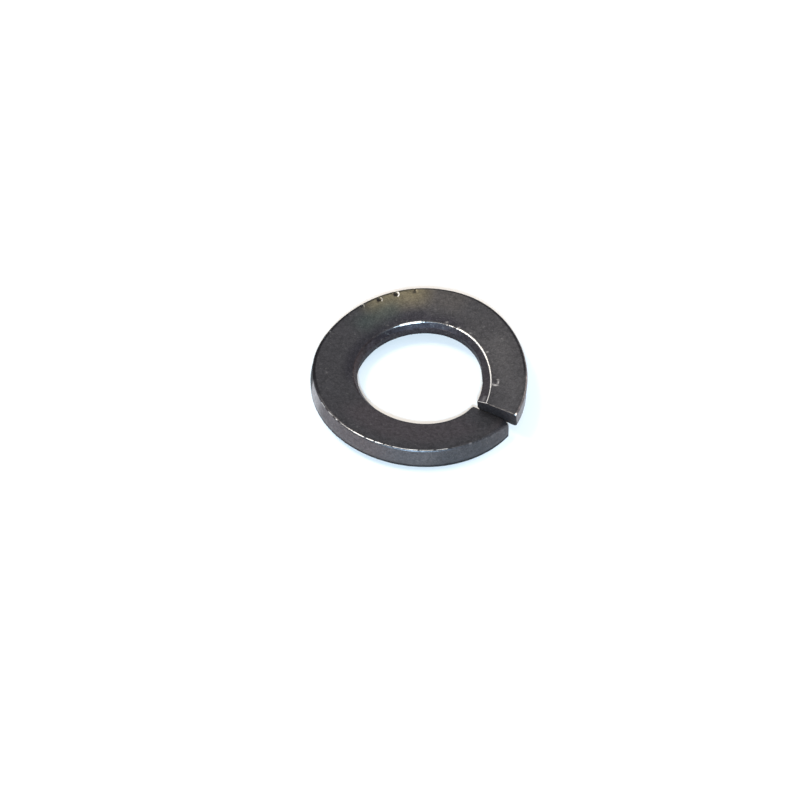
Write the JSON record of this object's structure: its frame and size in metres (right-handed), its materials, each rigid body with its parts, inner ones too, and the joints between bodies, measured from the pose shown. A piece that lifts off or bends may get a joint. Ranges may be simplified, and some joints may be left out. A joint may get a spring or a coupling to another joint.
{
  "type": "spring lock washer",
  "caption": "Split spring lock washer: a dark, left-hand coiled ring with a bevelled hole and slanted cut ends, set under a nut or bolt head to resist loosening.",
  "frame": {"origin": "centre of the ring's hole, at the height of the ring's lowest edge", "axes": "+Z along the bolt's axis, towards the nut side; the split faces out at 37 degrees from +X towards -Y"},
  "size_m": [0.0178, 0.018, 0.0029],
  "materials": {
    "blackened_steel": "black oxide, satin with worn edges"
  },
  "bodies": {
    "root": {"lock_washer": "blackened_steel"}
  },
  "joints": []
}
